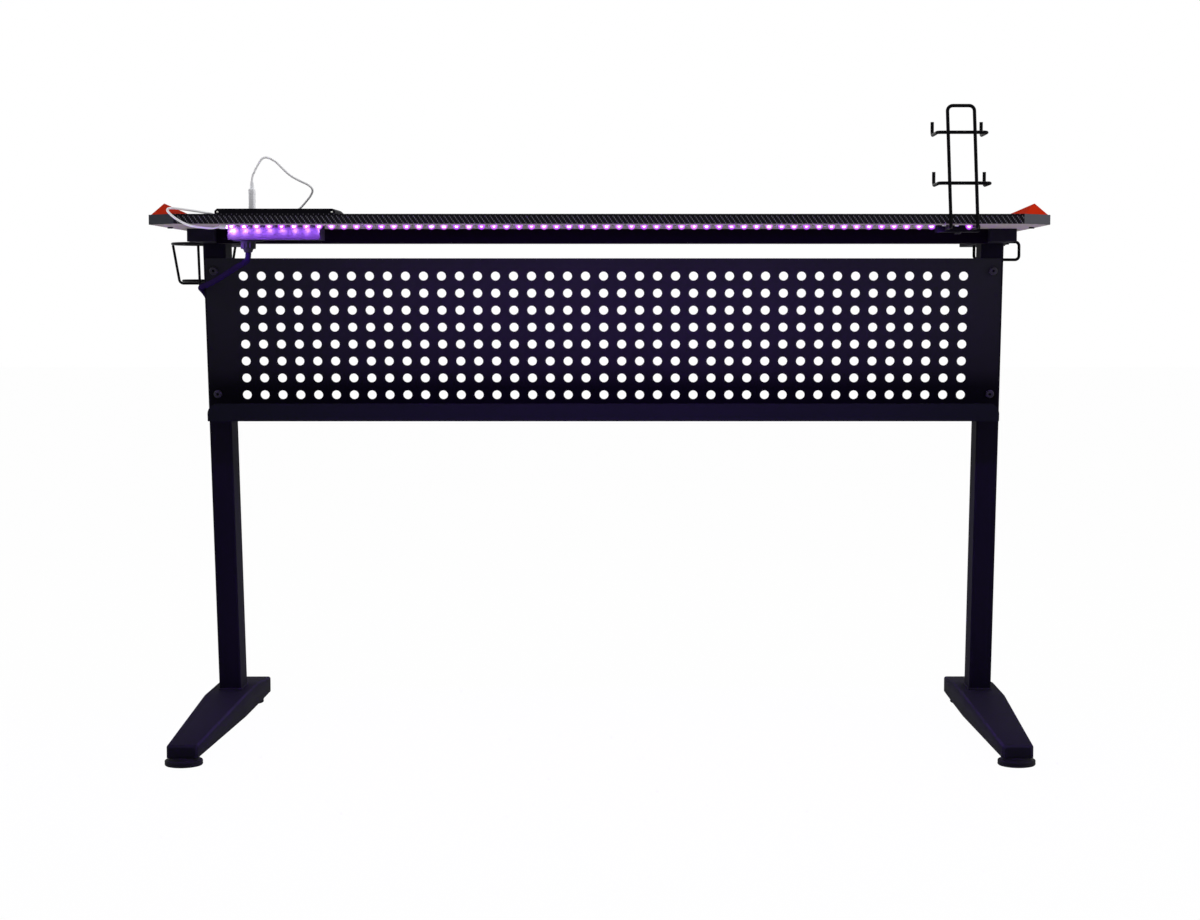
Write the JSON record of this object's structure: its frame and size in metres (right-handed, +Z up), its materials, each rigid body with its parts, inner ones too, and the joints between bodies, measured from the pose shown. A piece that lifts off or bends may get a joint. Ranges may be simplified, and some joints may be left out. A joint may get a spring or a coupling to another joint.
{
  "type": "gaming desk",
  "caption": "Gaming desk with a carbon-pattern top, red corner trims, leaning steel legs, perforated rear panel, cable tray, light strip, USB charger, wire rack, cup holder and headset hook.",
  "frame": {"origin": "on the floor, under the middle of the desk's box, cup holder and headset hook included", "axes": "+Z up, +X to the right as seen from behind the desk, +Y from its rear edge to the user's side"},
  "size_m": [1.2944, 0.7092, 0.8813],
  "materials": {
    "carbon_laminate": "woven carbon pattern, satin",
    "board_core": "pale backing paper on particle board",
    "trim_red": "satin moulded",
    "black_steel": "fine textured powder coat",
    "black_wire": "smooth powder coat",
    "black_oxide": "black oxide",
    "zinc_steel": "zinc plated",
    "black_plastic": "fine spark texture",
    "white_plastic": "smooth moulded",
    "strip_white": "coated flexible strip",
    "led_lens": "clear resin over a lit chip",
    "circuit_green": "solder mask",
    "lead_black": "matt cable sheath",
    "lead_white": "smooth cable sheath"
  },
  "bodies": {
    "desk": {"arm_caps": "black_plastic", "arm_left": "black_steel", "arm_right": "black_steel", "beam_bolts": "black_oxide", "beam_brackets": "black_steel", "bezel_screws": "black_oxide", "cable_gland": "black_plastic", "cable_tray": "black_steel", "charger_bezel": "black_plastic", "charger_board": "circuit_green", "charger_body": "black_plastic", "column_base_plates": "zinc_steel", "column_bolts": "zinc_steel", "column_left": "black_steel", "column_right": "black_steel", "corner_trim_left": "trim_red", "corner_trim_right": "trim_red", "cup_base": "black_wire", "cup_bracket": "black_steel", "cup_ribs": "black_wire", "cup_rim": "black_wire", "edge_band": "carbon_laminate", "foot_left": "black_steel", "foot_right": "black_steel", "glide_nuts": "zinc_steel", "headset_hook": "black_wire", "headset_mount": "black_plastic", "led_chips": "led_lens", "led_lead": "lead_white", "led_lead_sleeve": "white_plastic", "led_strip": "strip_white", "mains_lead": "lead_black", "mains_plug": "black_plastic", "mains_plug_pins": "zinc_steel", "modesty_panel": "black_steel", "panel_bolts": "black_oxide", "port_plate": "black_plastic", "power_converter": "black_plastic", "rack_clamp": "black_plastic", "rack_fork_lower": "black_wire", "rack_fork_upper": "black_wire", "rack_frame": "black_wire", "rear_beam": "black_steel", "rivet_nuts": "zinc_steel", "tabletop_board": "board_core", "top_laminate": "carbon_laminate", "usb_plug": "white_plastic", "usb_plug_shell": "zinc_steel", "usb_ports": "zinc_steel", "usb_tongues": "white_plastic", "wood_screws": "black_oxide"},
    "glide_rear_left_foot": {"glide_rear_left": "black_plastic", "glide_stud_rear_left": "zinc_steel"},
    "glide_rear_right_foot": {"glide_rear_right": "black_plastic", "glide_stud_rear_right": "zinc_steel"},
    "glide_front_left_foot": {"glide_front_left": "black_plastic", "glide_stud_front_left": "zinc_steel"},
    "glide_front_right_foot": {"glide_front_right": "black_plastic", "glide_stud_front_right": "zinc_steel"}
  },
  "joints": [
    {"name": "glide_rear_left_level", "type": "slide", "parent": "desk", "child": "glide_rear_left_foot", "axis": [0, 0, -1], "range_m": [0, 0.008]},
    {"name": "glide_rear_right_level", "type": "slide", "parent": "desk", "child": "glide_rear_right_foot", "axis": [0, 0, -1], "range_m": [0, 0.008]},
    {"name": "glide_front_left_level", "type": "slide", "parent": "desk", "child": "glide_front_left_foot", "axis": [0, 0, -1], "range_m": [0, 0.008]},
    {"name": "glide_front_right_level", "type": "slide", "parent": "desk", "child": "glide_front_right_foot", "axis": [0, 0, -1], "range_m": [0, 0.008]}
  ]
}
